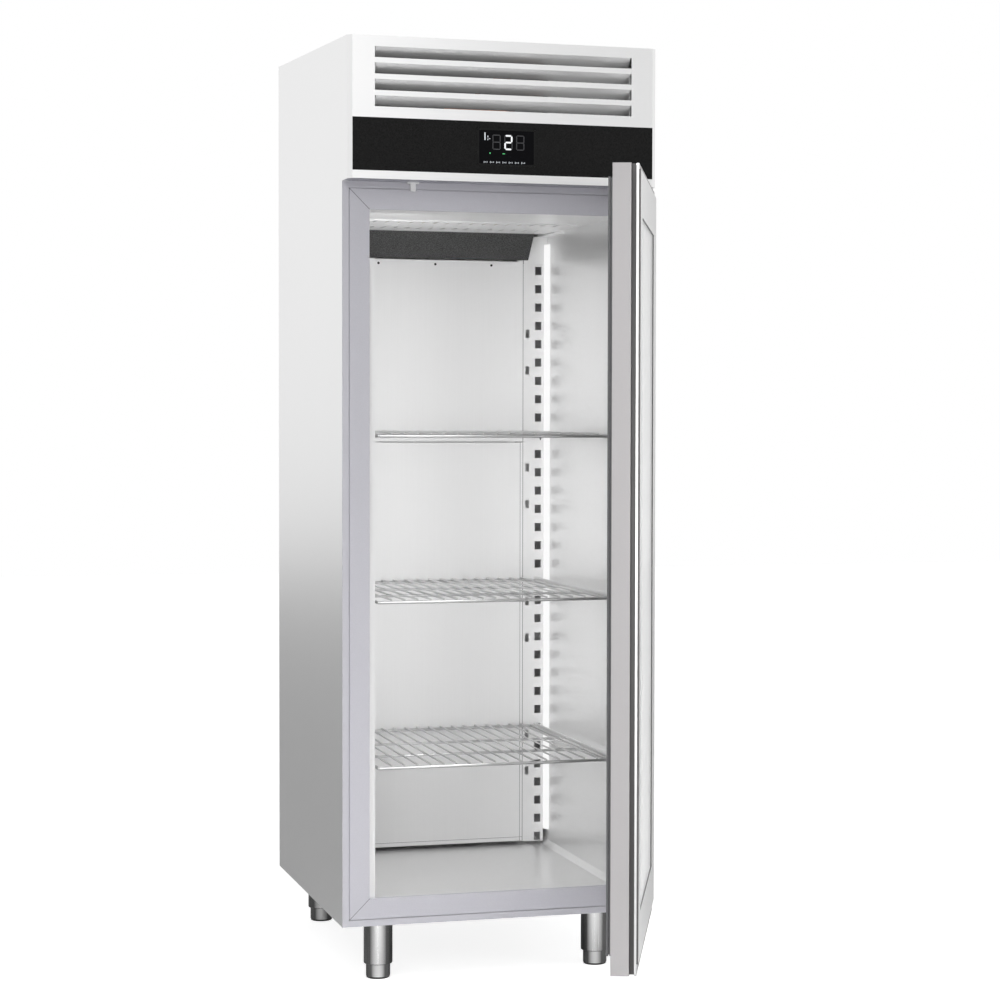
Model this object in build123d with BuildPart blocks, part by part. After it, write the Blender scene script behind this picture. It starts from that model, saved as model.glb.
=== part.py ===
from build123d import *
from math import cos, radians, sin
import os

os.makedirs("parts", exist_ok=True)

# Cabinet envelope
width = 680.0
depth = 790.0
underside_z = 127.0
body_h = 1597.0
head_h = 300.5
head_rise = 39.5
overhang = 66.0
bevel = 9.0
bevel_t = 1.7
sheet = 1.2
fit_gap = 0.3

# Face frame round the opening
flange_w = 14.0
groove_w = 2.0
groove_d = 3.0
frame_w = 43.0
frame_d = 12.0

# Inner liner
liner_t = 1.0
wall = 42.0
floor_rise = 45.0
ceiling_drop = 56.0
back_space = 55.0
cove = 12.0

# Door
open_deg = 69.4
side_gap = 1.0
door_t = 55.0
door_stand = 10.0
door_gap_bottom = 6.0
door_gap_top = 8.0
pivot_in = 19.0
face_t = 4.0
stile_w = 70.0
hinge_stile_w = 120.0
rail_top_h = 102.0
rail_bottom_h = 117.0
face_top_inset = 12.0
face_bottom_inset = 24.0
pane_t = 4.0
pane_space = 14.0
pane_grip = 11.0
pane_sunk = 2.5
pane_fit = 1.0
spacer_w = 10.0
recess_d = 18.0
recess_w = 10.0
lip_t = 4.5
lip_r = 6.0
strip_t = 1.5
gasket_w = 18.0
gasket_side = 20.0
gasket_top = 25.0
gasket_bottom = 35.0
gasket_gap = 0.3
gasket_groove = 3.0
gasket_groove_h = 2.5

# Hinges
pin_r = 5.0
pin_l = 25.0
pin_end = 2.0
bush_t = 3.0
bush_fit = 0.05
plate_t = 4.0
plate_in = 28.0
plate_side = 6.0
plate_back = 60.0
collar_t = 5.0
collar_gap = 0.3
hinge_screw_r = 5.0
hinge_screw_t = 1.5

# Head front
lower_strip = 17.5
band_h = 111.5
band_t = 5.0
slot_top = 22.5
slot_bottom = 23.1
slot_h = 23.0
slot_side = 57.0
slot_n = 4
top_return = 20.0
lid_gap = 0.1
lid_lip = 18.0
blade_t = 1.0
blade_d = 17.0
blade_lift = 3.5
blade_up = 8.0
blade_over = 6.0
blade_short = 2.0
display_x = 3.0
display_w = 128.7
display_h = 79.3
display_lift = 57.7
display_proud = 0.5
display_d = 30.0
display_wall = 8.0
display_r = 3.0
bezel = 4.0
glass_t = 1.5
glass_fit = 0.2
sensor_in = 152.5
under_slot_w = 23.0
under_slot_d = 9.0
under_slot_y = 11.0
under_slot_left = 14.0
under_slot_right = 139.0

# Uprights and shelves
upright_space = 75.0
upright_gap = 8.5
upright_w = 52.0
upright_lift = 8.0
upright_drop = 73.0
hole_pitch = 44.75
hole_h = 20.0
hole_w = 16.0
hole_top = 6.0
hole_side = 6.7
slit_w = 9.5
slit_side = 5.5
slit_top = 159.5
slit_pitch = 327.3
front_upright_w = 32.0
front_upright_d = 40.0
front_upright_drop = 106.0
front_hole_w = 13.0
front_hole_side = 6.0
shelf_holes = (9, 17, 25)
shelf_lift = 5.0
rail_r = 3.5
wire_r = 2.0
wire_n = 17
wire_side = 28.0
shelf_y = 6.0
shelf_back = 4.0
rail_gap = 39.0
bar_at = (0.30, 0.61)
runner_t = 1.5
runner_up = 8.0
runner_seat = 8.5
runner_clear = 3.5
tab_h = 14.0
tab_hook = 8.0

# Duct, air plates and lamps
duct_lower_h = 979.0
duct_over = 5.0
duct_drip = 15.0
seam_gap = 1.0
screw_r = 3.0
screw_t = 1.2
screw_drop = 10.0
screw_side = 115.2
screw_pitch = 139.4
screw_n = 3
tray_gap = 51.0
tray_y0 = 316.0
tray_drop = 3.0
tray_slot_l = 50.0
tray_slot_w = 6.0
tray_slot_n = 17
tray_slot_y = 6.0
tray_slot_side = 20.0
tray_end = 25.0
wing_l = 150.0
wing_drop = 7.0
cover_run = 63.0
cover_foot = 8.0
cover_over = 4.0
ear_seam = 26.0
ear_groove = 0.8
lamp_lift = 30.0
lamp_drop = 25.0
lamp_d = 24.0
lamp_foot = 4.0

# Legs and feet
leg_in = 93.0
leg_y = 73.0
rear_leg_in = 54.0
leg_r = 31.5
leg_z = 32.0
leg_cap = 3.0
foot_r = 26.5
foot_fit = 0.4
foot_h = 75.0

# Cooling system in the head
case_in = 130.0
case_back = 20.0
case_gap = 39.5
case_t = 20.0
case_front = 20.0
air_margin = 10.0
air_web = 16.0
return_in = 24.0
return_end = 57.0
supply_l = 80.0
supply_in = 15.0
coil_gap = 25.0
coil_t = 130.0
coil_lift = 36.0
coil_drop = 35.0
coil_fins = 12
fin_h = 8.0
fin_edge = 10.0
fan_r = 100.0
fan_tip = 7.0
fan_d = 110.0
fan_panel_t = 4.0
fan_side = 10.0
strap_t = 2.0
strap_w = 20.0
strap_gap = 4.0
shaft_r = 4.0
shaft_fit = 0.05
shaft_l = 28.0
bore_end = 1.0
motor_w = 60.0
motor_l = 38.0
hub_r = 26.0
hub_l = 34.0
hub_sides = 20
hub_gap = 4.0
blade_n = 5
blade_pitch = 28.0
fan_blade_t = 2.0
evap_fan_gap = 36.0
cond_side = 18.0
cond_back = 26.0
cond_t = 40.0
comp_in = 170.0
comp_y = 150.0
comp_r = 85.0
comp_h = 210.0
comp_foot = 10.0
comp_plate = 3.0
comp_cone = 18.0
comp_sides = 24
box_w = 56.0
box_h = 60.0
box_out = 22.0
pipe_r = 5.0
bend_r = 25.0
suction_lift = 90.0
hot_lift = 180.0
liquid_lift = 235.0
hot_gap = 32.0
liquid_gap = 72.0
drier_r = 14.0
drier_l = 100.0
drier_cone = 6.0
drier_sides = 12
controller_w = 144.0
controller_h = 100.0
controller_d = 40.0
vent_n = 5
vent_h = 9.0
vent_pitch = 32.0
vent_lift = 130.0
vent_left = 175.0
vent_right = 75.0
vent_gap = 50.0
gland_in = 90.0
gland_lift = 46.0
gland_nut = 7.0
gland_nut_l = 4.0
gland_wall = 3.5
gland_l = 12.0
gland_sides = 12
cord_r = 5.5
rib_in = 90.0
rib_h = 6.0
rib_z = 350.0

# Values that follow from the ones above
half = width / 2
head_z0 = underside_z + body_h
head_z = head_z0 + head_h
door_z0 = underside_z + door_gap_bottom
door_z1 = head_z0 - door_gap_top
door_w = width - 2 * side_gap
door_len = door_w - pivot_in
pivot_off = door_stand + door_t / 2
turn = radians(open_deg)
door_reach = pivot_off + door_len * sin(turn) + door_t / 2 * cos(turn)
front_y = (door_reach - depth) / 2
back_y = front_y + depth
head_y = front_y - overhang
pivot_x = half - side_gap - pivot_in
pivot_y = front_y - pivot_off
inset = flange_w + groove_w + frame_w
skin_x = half - sheet
liner_x = half - wall
liner_z0 = underside_z + floor_rise
liner_z1 = head_z0 - ceiling_drop
liner_y1 = back_y - back_space
deck_z = head_z0
slot_pitch = (head_h - lower_strip - band_h - slot_top - slot_bottom - slot_h) / (slot_n - 1)
display_z = head_z0 + lower_strip + display_lift
upright_y = liner_y1 - upright_space
upright_x1 = liner_x - upright_gap
upright_x0 = upright_x1 - upright_w
upright_z0 = liner_z0 + upright_lift
upright_z1 = liner_z1 - upright_drop
hole_n = int((upright_z1 - hole_top - hole_h - upright_z0) / hole_pitch) + 1
slit_n = int((upright_z1 - slit_top - 2 * hole_pitch - hole_h - upright_z0) / slit_pitch) + 1
shelf_l = upright_y - front_y - shelf_y - shelf_back
rail_x = liner_x - rail_gap
runner_x = rail_x + rail_r + runner_clear
duct_z0 = upright_z0 + 2
duct_seam = duct_z0 + duct_lower_h
duct_z1 = upright_z1 + duct_over
screw_z = duct_z1 - screw_drop
screw_x = [screw_side - upright_x0 + screw_pitch * k for k in range(screw_n)]
tray_x = liner_x - tray_gap
tray_back = upright_y - cover_run
plate_z = duct_z1 + cover_over
leg_x = half - leg_in
leg_rows = (front_y + leg_y, back_y - rear_leg_in)
case_x = half - case_in
case_z = head_z - case_gap
case_y1 = back_y - case_back
return_rows = (front_y + tray_y0 + return_in, tray_back - return_end)
supply_rows = (liner_y1 - supply_in - supply_l, liner_y1 - supply_in)
case_y0 = return_rows[0] - case_t - case_front
air_x = case_x - case_t - air_margin
evap_fan_y = return_rows[1] + evap_fan_gap
evap_fan_z = (deck_z + case_z - case_t) / 2
fan_tip_r = fan_r - fan_tip
cond_x = (half - cond_side - 2 * (fan_r + fan_side), half - cond_side)
cond_y = head_y + cond_back
cond_fan_z = (deck_z + case_z) / 2
comp_x = comp_in - half
gland_x = gland_in - half
gland_z = head_z0 + gland_lift


def roof_z(y):
    return head_z + head_rise * (y - head_y) / (depth + overhang)


def side_plane(x):
    return Plane.YZ.offset(x)


def front_plane(y):
    return Plane.XZ.offset(-y)


def level(z):
    return Plane.XY.offset(z)


def slab(plane, u, v, amount, mode=Mode.ADD):
    """Rectangle between two pairs of limits on a plane, extruded into the current part."""
    with BuildSketch(plane) as area:
        with Locations(((u[0] + u[1]) / 2, (v[0] + v[1]) / 2)):
            Rectangle(u[1] - u[0], v[1] - v[0])
    extrude(area.sketch, amount=amount, mode=mode)


def prism(plane, points, amount, mode=Mode.ADD):
    """Closed outline on a plane, extruded into the current part."""
    with BuildSketch(plane) as area:
        with BuildLine():
            Polyline(*points, close=True)
        make_face()
    extrude(area.sketch, amount=amount, mode=mode)


def bent(plane, points, thick, amount, side=Side.RIGHT, mode=Mode.ADD):
    """Folded sheet: an open outline thickened to one side and extruded."""
    with BuildSketch(plane) as area:
        with BuildLine():
            Polyline(*points)
            offset(amount=thick, side=side, kind=Kind.INTERSECTION)
        make_face()
    extrude(area.sketch, amount=amount, mode=mode)


def disc(plane, x, y, r, amount, mode=Mode.ADD):
    with BuildSketch(plane) as area:
        with Locations((x, y)):
            Circle(r)
    extrude(area.sketch, amount=amount, mode=mode)


def hexagon(plane, x, y, r, amount):
    with BuildSketch(plane) as area:
        with Locations((x, y)):
            RegularPolygon(r, 6)
    extrude(area.sketch, amount=amount)


def rod(plane, x, y, r, sides, amount):
    """Many-sided bar with a flat below and above, on a sketch plane across it."""
    with BuildSketch(plane) as area:
        with Locations((x, y)):
            RegularPolygon(r, sides, major_radius=False, rotation=180 / sides)
    extrude(area.sketch, amount=amount)


def save(part, name):
    part.label = name
    export_step(part, "parts/" + name + ".step")


def save_mirrored(part, name_left, name_right):
    """The left piece as drawn and its mirror image on the right."""
    save(part, name_left)
    save(mirror(part, about=Plane.YZ), name_right)


# Outer skins

def side_panel():
    """Folded side skin with its front and rear flanges and the bevelled head edge."""
    with BuildPart() as panel:
        outline = [
            (front_y, underside_z),
            (back_y, underside_z),
            (back_y, roof_z(back_y)),
            (head_y + bevel, roof_z(head_y + bevel)),
            (head_y + bevel, head_z0),
            (front_y, head_z0),
        ]
        prism(side_plane(-half), outline, sheet)
        u = (-half, -half + flange_w)
        slab(level(underside_z), u, (front_y, front_y + sheet), body_h)
        slab(level(underside_z), u, (back_y - sheet, back_y), roof_z(back_y) - underside_z)
        fold = [
            (-half, head_y + bevel),
            (-half + bevel, head_y),
            (-half + bevel, head_y + bevel_t),
            (-half + sheet, head_y + bevel + bevel_t / 3),
            (-half, head_y + bevel + bevel_t / 3),
        ]
        prism(level(head_z0), fold, head_h)
    return panel.part


def back_panel():
    with BuildPart() as panel:
        slab(
            front_plane(back_y),
            (-half + flange_w, half - flange_w),
            (underside_z, head_z0),
            sheet,
        )
        for z in (underside_z + rib_z, head_z0 - rib_z):
            u = (-half + rib_in, half - rib_in)
            slab(front_plane(back_y), u, (z, z + rib_h), sheet / 2, Mode.SUBTRACT)
    return panel.part


def base_panel():
    """Bottom tray with an upstand at the front."""
    with BuildPart() as tray:
        slab(level(underside_z), (-skin_x, skin_x), (front_y + sheet, back_y - sheet), sheet)
        slab(
            front_plane(front_y + sheet),
            (-half + flange_w, half - flange_w),
            (underside_z, underside_z + flange_w),
            sheet,
        )
    return tray.part


def machine_deck():
    """Sheet over the insulation that carries the cooling system."""
    with BuildPart() as deck:
        slab(level(deck_z - sheet), (-skin_x, skin_x), (front_y + sheet, back_y - sheet), sheet)
        slab(
            front_plane(front_y + sheet),
            (-half + flange_w, half - flange_w),
            (deck_z - flange_w, deck_z),
            sheet,
        )
        cut_air_ways(deck_z - sheet, sheet)
    return deck.part


def cut_air_ways(z, height):
    """Return and supply openings between the cabinet and the head, each in two halves."""
    for rows in (return_rows, supply_rows):
        for u in ((-air_x, -air_web / 2), (air_web / 2, air_x)):
            slab(level(z), u, rows, height, Mode.SUBTRACT)


def top_cover():
    """Sloping lid between the side skins, turned down along both sides."""
    y0 = head_y + top_return + lid_gap
    y1 = back_y - sheet
    z0 = roof_z(y0)
    z1 = roof_z(y1)
    with BuildPart() as lid:
        outline = [(y0, z0), (y1, z1), (y1, z1 - sheet), (y0, z0 - sheet)]
        prism(side_plane(-skin_x), outline, 2 * skin_x)
        y2 = y0 + lid_lip
        y3 = y1 - lid_lip
        lip = [(y2, roof_z(y2)), (y3, roof_z(y3))]
        lip += [(y3, roof_z(y3) - lid_lip), (y2, roof_z(y2) - lid_lip)]
        prism(side_plane(-skin_x), lip, sheet)
        prism(side_plane(skin_x - sheet), lip, sheet)
    return lid.part


def rear_grille():
    """Removable back of the head with rows of vent slots and the cord hole."""
    top = roof_z(back_y)
    length = (width - vent_left - vent_right - vent_gap) / 2
    with BuildPart() as grille:
        slab(front_plane(back_y), (-half + flange_w, half - flange_w), (head_z0, top), sheet)
        for k in range(vent_n):
            z = head_z0 + vent_lift + vent_pitch * k
            for x in (-half + vent_left, half - vent_right - length):
                slab(front_plane(back_y), (x, x + length), (z, z + vent_h), sheet, Mode.SUBTRACT)
        disc(front_plane(back_y), gland_x, gland_z, cord_r + gland_wall, sheet, Mode.SUBTRACT)
    return grille.part


# Insulation, liner and face frame

def liner_outline(plane, grow, amount, mode=Mode.ADD):
    """Inner space seen from the front, with coved edges along the floor."""
    x = liner_x + grow
    z0 = liner_z0 - grow
    z1 = liner_z1 + grow
    points = [(-x + cove, z0), (x - cove, z0), (x, z0 + cove), (x, z1), (-x, z1), (-x, z0 + cove)]
    prism(plane, points, amount, mode)


def board(u, y, z):
    """One foam board between limits along the three axes."""
    with BuildPart() as foam:
        slab(level(z[0]), u, y, z[1] - z[0])
    return foam.part


def ceiling_board(u, y, z):
    with BuildPart() as foam:
        slab(level(z[0]), u, y, z[1] - z[0])
        cut_air_ways(z[0], z[1] - z[0])
    return foam.part


def insulation():
    """Foam boards between the skins and the liner: floor, sides, back and ceiling."""
    y = (front_y + frame_d, back_y - sheet)
    x = liner_x + liner_t
    z = (liner_z0 - liner_t, liner_z1 + liner_t)
    floor = board((-skin_x, skin_x), y, (underside_z + sheet, z[0]))
    left = board((-skin_x, -x), y, z)
    right = board((x, skin_x), y, z)
    back = board((-x, x), (liner_y1 + liner_t, y[1]), z)
    ceiling = ceiling_board((-skin_x, skin_x), y, (z[1], deck_z - sheet))
    return Compound(children=[floor, left, right, back, ceiling])


def inner_liner():
    y0 = front_y + frame_d
    with BuildPart() as liner:
        liner_outline(front_plane(liner_y1 + liner_t), liner_t, liner_y1 + liner_t - y0)
        liner_outline(front_plane(liner_y1), 0, liner_y1 - y0, Mode.SUBTRACT)
        cut_air_ways(liner_z1, liner_t)
    return liner.part


def frame_strip(corner, along, length):
    """Mitred frame member: lip behind the skin's flange, groove, then the sealing face."""
    inward = along.cross(Vector(0, 1, 0))
    face = Plane(origin=corner, x_dir=along, z_dir=Vector(0, 1, 0))
    sign = 1 if face.y_dir.dot(inward) > 0 else -1
    with BuildPart() as strip:
        outline = [
            (sheet, sign * sheet),
            (length - sheet, sign * sheet),
            (length - inset, sign * inset),
            (inset, sign * inset),
        ]
        prism(face, outline, frame_d)
        lip = sorted((0, sign * flange_w))
        slab(face, (0, length), lip, sheet, Mode.SUBTRACT)
        groove = sorted((sign * flange_w, sign * (flange_w + groove_w)))
        slab(face, (0, length), groove, groove_d, Mode.SUBTRACT)
    return strip.part


def frame_strips():
    height = head_z0 - underside_z
    left = frame_strip(Vector(-half, front_y, head_z0), Vector(0, 0, -1), height)
    save_mirrored(left, "frame_strip_left", "frame_strip_right")
    top = frame_strip(Vector(half, front_y, head_z0), Vector(-1, 0, 0), width)
    save(top, "frame_strip_top")
    bottom = frame_strip(Vector(-half, front_y, underside_z), Vector(1, 0, 0), width)
    save(bottom, "frame_strip_bottom")


# Head front

def fascia_slots(amount):
    for k in range(slot_n):
        z = head_z - slot_top - slot_pitch * k
        slab(
            front_plane(head_y + amount),
            (-half + slot_side, half - slot_side),
            (z - slot_h, z),
            amount,
            Mode.SUBTRACT,
        )


def display_cut(y, amount):
    slab(
        front_plane(y),
        (display_x - display_w / 2, display_x + display_w / 2),
        (display_z - display_h / 2, display_z + display_h / 2),
        amount,
        Mode.SUBTRACT,
    )


def header_fascia():
    """One folded sheet: underside, lower strip, recess for the band, louvred front, top return."""
    x = half - bevel
    band_z0 = head_z0 + lower_strip
    band_z1 = band_z0 + band_h
    profile = [
        (front_y, head_z0),
        (head_y, head_z0),
        (head_y, band_z0),
        (head_y + band_t, band_z0),
        (head_y + band_t, band_z1),
        (head_y, band_z1),
        (head_y, head_z),
        (head_y + top_return, roof_z(head_y + top_return)),
    ]
    with BuildPart() as fascia:
        bent(side_plane(-x), profile, sheet, 2 * x)
        under = [
            (-x, head_y),
            (x, head_y),
            (x, head_y + bevel_t),
            (skin_x, head_y + bevel + bevel_t / 3),
            (skin_x, front_y + frame_d),
            (-skin_x, front_y + frame_d),
            (-skin_x, head_y + bevel + bevel_t / 3),
            (-x, head_y + bevel_t),
        ]
        prism(level(head_z0), under, sheet)
        fascia_slots(sheet)
        display_cut(head_y + band_t + sheet, sheet)
        y = front_y - under_slot_y
        for x in (-half + under_slot_left, half - under_slot_right):
            rows = (y - under_slot_d, y)
            slab(level(head_z0), (x, x + under_slot_w), rows, sheet, Mode.SUBTRACT)
    return fascia.part


def louvre_blades():
    """Folded blades hung behind the slots, each sloping back and down below its own tab."""
    x = half - slot_side
    y = head_y + sheet
    with BuildPart() as blades:
        for k in range(slot_n):
            z = head_z - slot_top - slot_pitch * k
            slab(
                front_plane(y + blade_t),
                (-x - blade_over, x + blade_over),
                (z, z + blade_up),
                blade_t,
            )
            length = 2 * (x - blade_short)
            profile = [(y, z + blade_t), (y, z), (y + blade_d, z - slot_h + blade_lift)]
            bent(side_plane(blade_short - x), profile, blade_t, length, Side.LEFT)
    return blades.part


def control_band():
    """Dark band in the recess of the fascia with the display opening."""
    x = half - bevel
    z0 = head_z0 + lower_strip
    with BuildPart() as band:
        slab(front_plane(head_y + band_t), (-x, x), (z0, z0 + band_h), band_t)
        display_cut(head_y + band_t, band_t)
    return band.part


def display_module():
    y = head_y - display_proud
    u = (display_x - display_w / 2, display_x + display_w / 2)
    v = (display_z - display_h / 2, display_z + display_h / 2)
    with BuildPart() as module:
        slab(front_plane(y + display_d), u, v, display_d)
        chamfer(module.edges().filter_by(Axis.Y), display_r)
        slab(front_plane(y + glass_t), inside(u, bezel), inside(v, bezel), glass_t, Mode.SUBTRACT)
        wall_d = display_d - display_wall
        rear = front_plane(y + display_d)
        slab(rear, inside(u, display_wall), inside(v, display_wall), wall_d, Mode.SUBTRACT)
    return module.part


def inside(limits, margin):
    return limits[0] + margin, limits[1] - margin


def display_glass():
    y = head_y - display_proud
    u = (display_x - display_w / 2, display_x + display_w / 2)
    v = (display_z - display_h / 2, display_z + display_h / 2)
    with BuildPart() as pane:
        slab(front_plane(y + glass_t), inside(u, bezel), inside(v, bezel), glass_t - glass_fit)
    return pane.part


def door_sensor():
    """Small switch under the head that senses the closed door."""
    x = -half + sensor_in
    with BuildPart() as sensor:
        slab(level(head_z0 - 3), (x - 12.5, x + 12.5), (front_y - 9, front_y - 1), 3)
        slab(level(head_z0 - 19), (x - 5.5, x + 5.5), (front_y - 8, front_y - 2), 16)
        chamfer(sensor.edges().filter_by(Axis.X).group_by(Axis.Z)[0], 1.5)
    return sensor.part


# Hinges

def hinge_plate_outline(plane, y1, amount):
    x0 = pivot_x - plate_in
    x1 = half - plate_side
    points = [
        (x0, y1),
        (x0, pivot_y + 6),
        (pivot_x - 10, pivot_y - 14),
        (pivot_x + 8, pivot_y - 14),
        (x1, pivot_y - 4),
        (x1, y1),
    ]
    prism(plane, points, amount)


def hinge_upper():
    """Plate under the head with the pin that the door hangs on."""
    with BuildPart() as hinge:
        hinge_plate_outline(level(head_z0 - plate_t), front_y - 4, plate_t)
        disc(level(door_z1 - pin_l), pivot_x, pivot_y, pin_r, door_gap_top - plate_t + pin_l)
        for x in (pivot_x - 20, pivot_x + 4):
            z = head_z0 - plate_t - hinge_screw_t
            hexagon(level(z), x, front_y - 12, hinge_screw_r - 1, hinge_screw_t)
    return hinge.part


def hinge_lower():
    """Plate under the body, with a collar below the door and the lower pin."""
    with BuildPart() as hinge:
        hinge_plate_outline(level(underside_z - plate_t), front_y + plate_back, plate_t)
        disc(level(underside_z), pivot_x, pivot_y, pin_r + collar_t, door_gap_bottom - collar_gap)
        disc(level(underside_z), pivot_x, pivot_y, pin_r, door_gap_bottom + pin_l)
        for x in (pivot_x - 20, pivot_x + 4):
            z = underside_z - plate_t - hinge_screw_t
            hexagon(level(z), x, front_y + 40, hinge_screw_r, hinge_screw_t)
    return hinge.part


# Inside of the cabinet

def hole_z(index):
    """Upper edge of a shelf hole, counted from the top."""
    return upright_z1 - hole_top - hole_pitch * index


def rack_upright_rear():
    """Folded channel with square shelf holes and pairs of narrow slots."""
    y = upright_y
    with BuildPart() as upright:
        profile = [(upright_x0, liner_y1), (upright_x0, y), (upright_x1, y), (upright_x1, liner_y1)]
        bent(level(upright_z0), profile, sheet, upright_z1 - upright_z0, Side.LEFT)
        face = front_plane(y + sheet)
        u1 = upright_x1 - hole_side
        for k in range(hole_n):
            z = hole_z(k)
            slab(face, (u1 - hole_w, u1), (z - hole_h, z), sheet, Mode.SUBTRACT)
        u0 = upright_x0 + slit_side
        for k in range(slit_n):
            for j in (0, 2):
                z = upright_z1 - slit_top - slit_pitch * k - hole_pitch * j
                slab(face, (u0, u0 + slit_w), (z - hole_h, z), sheet, Mode.SUBTRACT)
    return upright.part


def rack_upright_front():
    """Channel behind the face frame, with every second hole of the rear row."""
    x = liner_x - front_upright_w
    y0 = front_y + frame_d + groove_w
    y1 = y0 + front_upright_d
    with BuildPart() as upright:
        profile = [(liner_x, y0), (x, y0), (x, y1), (liner_x, y1)]
        z0 = liner_z0 + cove
        bent(level(z0), profile, sheet, liner_z1 - front_upright_drop - z0)
        u0 = x + front_hole_side
        for k in range(1, hole_n - 1, 2):
            z = hole_z(k)
            slab(front_plane(y1), (u0, u0 + front_hole_w), (z - hole_h, z), sheet, Mode.SUBTRACT)
    return upright.part


def pair(part):
    """A piece and its mirror image as one compound."""
    return Compound(children=[part, mirror(part, about=Plane.YZ)])


def shelf_plane_z(index):
    return hole_z(index) - hole_h / 2 + shelf_lift


def shelf_runner(z):
    """Folded runner with a seat for the shelf and a hooked tab at each end."""
    y0 = front_y + frame_d + groove_w + front_upright_d + 1
    y1 = upright_y - 1
    seat_z = z - rail_r - fit_gap
    tab_x = liner_x - front_upright_w + front_hole_side + front_hole_w / 2
    tab_z = z - shelf_lift - hole_h / 2
    with BuildPart() as runner:
        profile = [
            (runner_x - runner_seat, seat_z),
            (runner_x, seat_z),
            (runner_x, z + runner_up),
        ]
        bent(front_plane(y1), profile, runner_t, y1 - y0)
        slab(level(tab_z), (runner_x, tab_x), (y0, y0 + runner_t), tab_h)
        slab(level(tab_z), (tab_x - runner_t, tab_x), (y0 - tab_hook, y0 + runner_t), tab_h)
        slab(level(tab_z), (runner_x, tab_x), (y1 - runner_t, y1), tab_h)
        slab(level(tab_z), (tab_x - runner_t, tab_x), (y1 - runner_t, y1 + tab_hook), tab_h)
    return runner.part


def shelf_runners():
    right = [shelf_runner(shelf_plane_z(k)) for k in shelf_holes]
    left = [mirror(runner, about=Plane.YZ) for runner in right]
    save(Compound(children=right + left), "shelf_runners")


def shelf(z):
    """Wire shelf: two side rails, end rails and cross bars below the long wires."""
    y0 = front_y + shelf_y
    y1 = y0 + shelf_l
    wire_z = z + rail_r + wire_r
    pitch = 2 * (rail_x - wire_side) / (wire_n - 1)
    with BuildPart() as grid:
        for x in (-rail_x, rail_x):
            rod(front_plane(y1), x, z, rail_r, 8, shelf_l)
        bars = [y0 + rail_r, y1 - rail_r] + [y0 + shelf_l * part for part in bar_at]
        for y in bars:
            rod(side_plane(-rail_x), y, z, rail_r, 8, 2 * rail_x)
        for k in range(wire_n):
            x = (k - (wire_n - 1) / 2) * pitch
            rod(front_plane(y1), x, wire_z, wire_r, 4, shelf_l)
    return grid.part


def duct_panel(z0, z1):
    """Folded panel that closes the air duct along the back wall."""
    x = upright_x0
    with BuildPart() as panel:
        profile = [(-x, liner_y1), (-x, upright_y), (x, upright_y), (x, liner_y1)]
        bent(level(z0), profile, sheet, z1 - z0, Side.LEFT)
        if z0 == duct_z0:
            u = (-x + sheet, x - sheet)
            slab(level(z0), u, (upright_y, upright_y + duct_drip), sheet)
        else:
            duct_ears()
    return panel.part


def duct_ears():
    """Closing plates above the rear uprights, each with a shallow seam line."""
    face = front_plane(upright_y + sheet)
    z = (upright_z1 + fit_gap, liner_z1 - wing_drop - fit_gap)
    for sign in (-1, 1):
        u = sorted((sign * (upright_x0 - duct_drip), sign * (liner_x - fit_gap)))
        slab(face, u, z, sheet)
        seam = sign * (upright_x0 + ear_seam)
        front = front_plane(upright_y + sheet / 2)
        slab(front, (seam, seam + ear_groove), z, sheet / 2, Mode.SUBTRACT)


def duct_screws():
    with BuildPart() as screws:
        for u in screw_x:
            with BuildSketch(front_plane(upright_y)) as area:
                with Locations((u, screw_z)):
                    RegularPolygon(screw_r, 12)
            extrude(area.sketch, amount=screw_t)
    return screws.part


def ceiling_grille():
    """Slotted tray under the return openings, with a deeper wing at each side wall."""
    y0 = front_y + tray_y0
    y1 = tray_back
    z = liner_z1 - tray_drop
    end = tray_x + tray_end
    pitch = 2 * (tray_x - tray_slot_side) / (tray_slot_n - 1)
    with BuildPart() as tray:
        slab(level(z), (-end, end), (y0, y1), tray_drop)
        hollow = (-end + sheet, end - sheet)
        slab(level(z + sheet), hollow, (y0 + sheet, y1 - sheet), tray_drop, Mode.SUBTRACT)
        for k in range(tray_slot_n):
            x = pitch * (k - (tray_slot_n - 1) / 2) - tray_slot_w / 2
            for y in (y0 + tray_slot_y, y1 - return_end - tray_slot_l):
                row = (y, y + tray_slot_l)
                slab(level(z), (x, x + tray_slot_w), row, sheet, Mode.SUBTRACT)
        for sign in (-1, 1):
            u = sorted((sign * end, sign * (liner_x - fit_gap)))
            rows = (upright_y - wing_l, upright_y)
            slab(level(liner_z1 - wing_drop), u, rows, wing_drop)
    return tray.part


def fan_cover_plate():
    """Inclined dark plate from the duct up and forward to the ceiling tray."""
    y0 = upright_y - cover_foot
    y1 = tray_back
    z1 = liner_z1 - tray_drop
    profile = [
        (upright_y, plate_z),
        (y0, plate_z),
        (y1, z1 - sheet),
        (y1, liner_z1),
        (y1 + sheet, liner_z1),
        (y1 + sheet, z1 - sheet / 2),
        (y0 + sheet, plate_z + sheet),
        (upright_y, plate_z + sheet),
    ]
    with BuildPart() as plate:
        prism(side_plane(-tray_x), profile, 2 * tray_x)
    return plate.part


def led_strip():
    """Lamp bar across the rear corner beside the upright."""
    x0 = upright_x1 + glass_fit
    y0 = upright_y - lamp_d
    z0 = upright_z0 + lamp_lift
    with BuildPart() as lamp:
        points = [(liner_x, y0), (liner_x, upright_y), (x0, upright_y), (x0, upright_y - lamp_foot)]
        prism(level(z0), points, liner_z1 - lamp_drop - z0)
    return lamp.part


# Legs

def leg():
    """Round sleeve closed at its top; the foot runs up inside it."""
    bore = foot_r + foot_fit
    with BuildPart() as sleeve:
        disc(level(leg_z), 0, 0, leg_r, underside_z - leg_z)
        disc(level(leg_z), 0, 0, bore, underside_z - leg_cap - leg_z, Mode.SUBTRACT)
    return sleeve.part


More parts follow.
